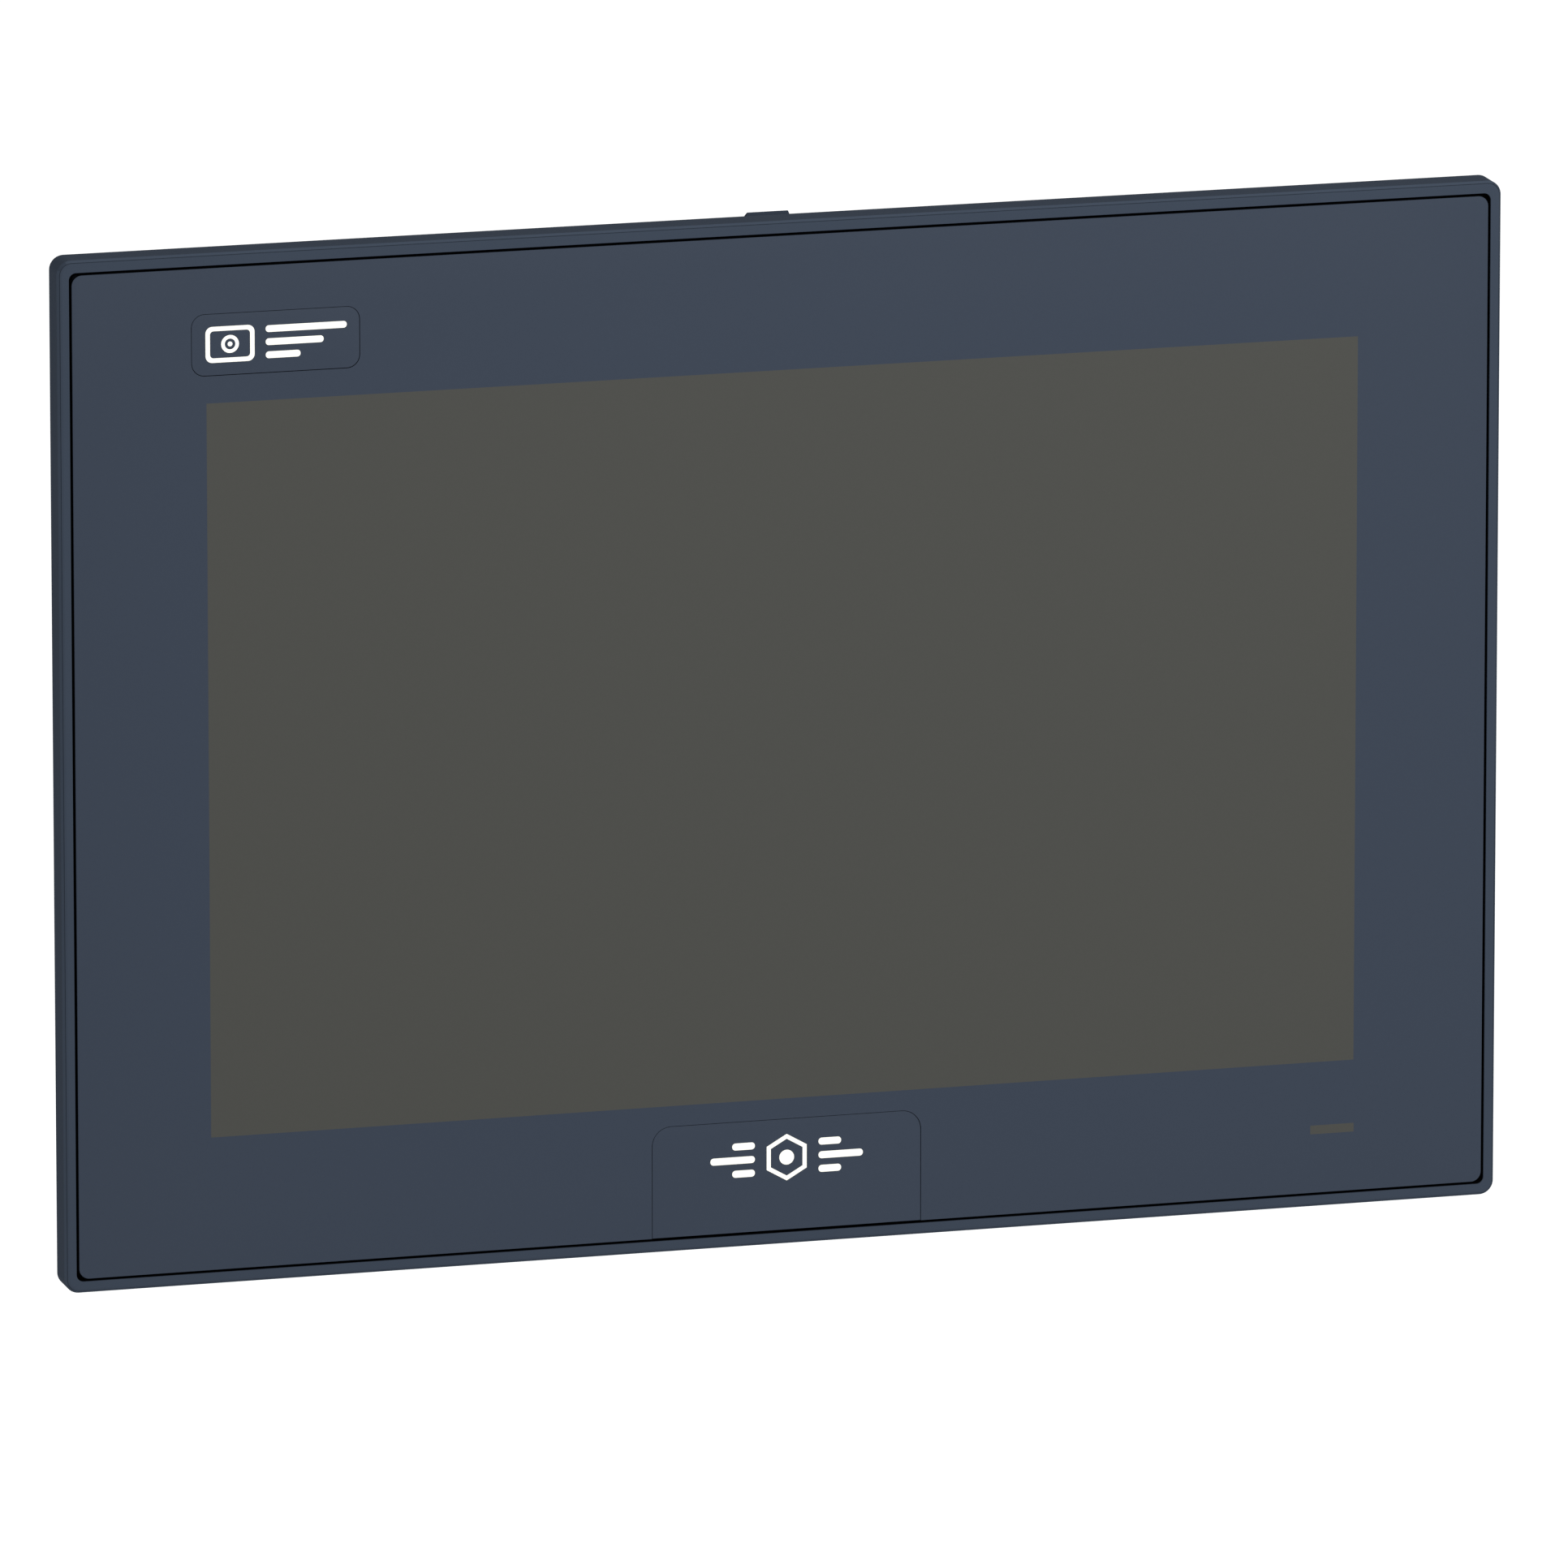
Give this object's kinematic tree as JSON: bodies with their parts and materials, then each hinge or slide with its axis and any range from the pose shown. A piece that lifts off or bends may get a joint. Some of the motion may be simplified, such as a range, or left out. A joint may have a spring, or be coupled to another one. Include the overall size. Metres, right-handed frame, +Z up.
{
  "type": "hmi touch panel",
  "caption": "Flush touch panel for a control cabinet: wide display in a flanged bezel, swing clamps, drop catch, and a finned rear box with ports.",
  "frame": {"origin": "centre of the cabinet cut-out, on the plane where the bezel's flange meets the cabinet wall", "axes": "+X to the right seen from the front, +Y from the front to the back, +Z up"},
  "size_m": [0.3282, 0.0564, 0.2308],
  "materials": {
    "bezel_plastic": "fine matte moulding, dark blue-grey",
    "front_film": "printed polyester film, anti-glare; the display window is olive grey",
    "label_film": null,
    "housing_plastic": "charcoal moulding, fine spark-eroded texture",
    "gasket_rubber": "matte black",
    "foam": "closed-cell foam",
    "display_glass": "anti-glare glass",
    "light_pipe": "clear acrylic",
    "steel": "rolled sheet and wire",
    "zinc_steel": "zinc plated",
    "brass": "turned",
    "heatsink_aluminium": "extruded, satin",
    "circuit_board": "green solder resist",
    "flex_film": "amber polyimide",
    "chip_plastic": "moulded package with a metal lid",
    "black_plastic": "moulded",
    "terminal_plastic": "green moulded plug",
    "switch_red": "moulded",
    "white_plastic": "moulded",
    "port_metal": "nickel-plated sheet",
    "battery_steel": "bright",
    "plate_film": "anodised, no print"
  },
  "bodies": {
    "housing": {"front_bezel": "bezel_plastic", "front_overlay": "front_film", "badge_label": "label_film", "logo_label": "label_film", "tray_housing": "housing_plastic", "rear_cover": "housing_plastic", "panel_gasket": "gasket_rubber", "display_gasket": "foam", "touch_sensor": "display_glass", "display_glass": "display_glass", "status_light_pipe": "light_pipe", "display_frame": "steel", "catch_spring": "steel", "door_hinge_pin": "steel", "display_bracket_left": "zinc_steel", "display_bracket_right": "zinc_steel", "chassis_plate": "zinc_steel", "earth_screw": "zinc_steel", "heatsink": "heatsink_aluminium", "main_board": "circuit_board", "service_board": "circuit_board", "status_light_board": "circuit_board", "touch_flex_tail": "flex_film", "display_ribbon": "flex_film", "processor": "chip_plastic", "battery_holder": "black_plastic", "reset_switch": "black_plastic", "power_inlet": "black_plastic", "dip_switch_body": "switch_red", "backlight_unit": "white_plastic", "serial_port": "port_metal", "network_ports": "port_metal", "usb_ports": "port_metal", "card_socket": "port_metal", "rating_plate": "plate_film"},
    "clamp_arm_1": {"clamp_arm_1": "zinc_steel"},
    "clamp_arm_2": {"clamp_arm_2": "zinc_steel"},
    "clamp_arm_3": {"clamp_arm_3": "zinc_steel"},
    "clamp_arm_4": {"clamp_arm_4": "zinc_steel"},
    "clamp_bush_1": {"clamp_bush_1": "brass"},
    "clamp_bush_2": {"clamp_bush_2": "brass"},
    "clamp_bush_3": {"clamp_bush_3": "brass"},
    "clamp_bush_4": {"clamp_bush_4": "brass"},
    "clamp_screw_1": {"clamp_screw_1": "zinc_steel"},
    "clamp_screw_2": {"clamp_screw_2": "zinc_steel"},
    "clamp_screw_3": {"clamp_screw_3": "zinc_steel"},
    "clamp_screw_4": {"clamp_screw_4": "zinc_steel"},
    "coin_battery": {"coin_battery": "battery_steel"},
    "dip_slider_1": {"dip_slider_1": "white_plastic"},
    "dip_slider_2": {"dip_slider_2": "white_plastic"},
    "dip_slider_3": {"dip_slider_3": "white_plastic"},
    "dip_slider_4": {"dip_slider_4": "white_plastic"},
    "drop_catch": {"drop_catch": "bezel_plastic"},
    "memory_card": {"memory_card": "black_plastic"},
    "power_plug": {"power_plug": "terminal_plastic"},
    "reset_button": {"reset_button": "white_plastic"},
    "service_door": {"service_door": "housing_plastic"},
    "terminal_screw_1": {"terminal_screw_1": "zinc_steel"},
    "terminal_screw_2": {"terminal_screw_2": "zinc_steel"},
    "terminal_screw_3": {"terminal_screw_3": "zinc_steel"}
  },
  "joints": [
    {"name": "clamp_feed_1", "type": "slide", "parent": "housing", "child": "clamp_bush_1", "axis": [0, -1, 0], "range_m": [0, 0.0049]},
    {"name": "clamp_turn_1", "type": "hinge", "parent": "clamp_bush_1", "child": "clamp_screw_1", "pos_m": [-0.095, 0.009, 0.102], "axis": [0, -1, 0], "range_deg": [0, 2520]},
    {"name": "clamp_swing_1", "type": "hinge", "parent": "clamp_bush_1", "child": "clamp_arm_1", "pos_m": [-0.095, 0.009, 0.102], "axis": [0, -1, 0], "range_deg": [0, 90]},
    {"name": "clamp_feed_2", "type": "slide", "parent": "housing", "child": "clamp_bush_2", "axis": [0, -1, 0], "range_m": [0, 0.0049]},
    {"name": "clamp_turn_2", "type": "hinge", "parent": "clamp_bush_2", "child": "clamp_screw_2", "pos_m": [0.095, 0.009, 0.102], "axis": [0, -1, 0], "range_deg": [0, 2520]},
    {"name": "clamp_swing_2", "type": "hinge", "parent": "clamp_bush_2", "child": "clamp_arm_2", "pos_m": [0.095, 0.009, 0.102], "axis": [0, 1, 0], "range_deg": [0, 90]},
    {"name": "clamp_feed_3", "type": "slide", "parent": "housing", "child": "clamp_bush_3", "axis": [0, -1, 0], "range_m": [0, 0.0049]},
    {"name": "clamp_turn_3", "type": "hinge", "parent": "clamp_bush_3", "child": "clamp_screw_3", "pos_m": [-0.095, 0.009, -0.102], "axis": [0, -1, 0], "range_deg": [0, 2520]},
    {"name": "clamp_swing_3", "type": "hinge", "parent": "clamp_bush_3", "child": "clamp_arm_3", "pos_m": [-0.095, 0.009, -0.102], "axis": [0, 1, 0], "range_deg": [0, 90]},
    {"name": "clamp_feed_4", "type": "slide", "parent": "housing", "child": "clamp_bush_4", "axis": [0, -1, 0], "range_m": [0, 0.0049]},
    {"name": "clamp_turn_4", "type": "hinge", "parent": "clamp_bush_4", "child": "clamp_screw_4", "pos_m": [0.095, 0.009, -0.102], "axis": [0, -1, 0], "range_deg": [0, 2520]},
    {"name": "clamp_swing_4", "type": "hinge", "parent": "clamp_bush_4", "child": "clamp_arm_4", "pos_m": [0.095, 0.009, -0.102], "axis": [0, -1, 0], "range_deg": [0, 90]},
    {"name": "drop_catch_press", "type": "slide", "parent": "housing", "child": "drop_catch", "axis": [0, 0, -1], "range_m": [0, 0.0065], "stiffness_N_per_m": 300, "deforming": ["catch_spring"]},
    {"name": "service_door_hinge", "type": "hinge", "parent": "housing", "child": "service_door", "pos_m": [0.115, 0.0446, 0.025], "axis": [0, 0, -1], "range_deg": [0, 110]},
    {"name": "memory_card_slide", "type": "slide", "parent": "housing", "child": "memory_card", "axis": [1, 0, 0], "range_m": [0, 0.026]},
    {"name": "reset_button_press", "type": "slide", "parent": "housing", "child": "reset_button", "axis": [0, 0, 1], "range_m": [0, 0.001], "stiffness_N_per_m": 800},
    {"name": "coin_battery_lift", "type": "slide", "parent": "housing", "child": "coin_battery", "axis": [0, 1, 0], "range_m": [0, 0.005]},
    {"name": "power_plug_slide", "type": "slide", "parent": "housing", "child": "power_plug", "axis": [0, 0, -1], "range_m": [0, 0.012]},
    {"name": "dip_slide_1", "type": "slide", "parent": "housing", "child": "dip_slider_1", "axis": [0, 0, 1], "range_m": [0, 0.0016]},
    {"name": "dip_slide_2", "type": "slide", "parent": "housing", "child": "dip_slider_2", "axis": [0, 0, 1], "range_m": [0, 0.0016]},
    {"name": "dip_slide_3", "type": "slide", "parent": "housing", "child": "dip_slider_3", "axis": [0, 0, 1], "range_m": [0, 0.0016]},
    {"name": "dip_slide_4", "type": "slide", "parent": "housing", "child": "dip_slider_4", "axis": [0, 0, 1], "range_m": [0, 0.0016]},
    {"name": "terminal_turn_1", "type": "hinge", "parent": "power_plug", "child": "terminal_screw_1", "pos_m": [-0.07908, 0.0304, -0.078], "axis": [0, 1, 0], "continuous": true},
    {"name": "terminal_turn_2", "type": "hinge", "parent": "power_plug", "child": "terminal_screw_2", "pos_m": [-0.074, 0.0304, -0.078], "axis": [0, 1, 0], "continuous": true},
    {"name": "terminal_turn_3", "type": "hinge", "parent": "power_plug", "child": "terminal_screw_3", "pos_m": [-0.06892, 0.0304, -0.078], "axis": [0, 1, 0], "continuous": true}
  ],
  "couplings": [
    {"joint": "clamp_turn_1", "follows": "clamp_feed_1", "rad_per_m": 8976},
    {"joint": "clamp_turn_2", "follows": "clamp_feed_2", "rad_per_m": 8976},
    {"joint": "clamp_turn_3", "follows": "clamp_feed_3", "rad_per_m": 8976},
    {"joint": "clamp_turn_4", "follows": "clamp_feed_4", "rad_per_m": 8976}
  ]
}
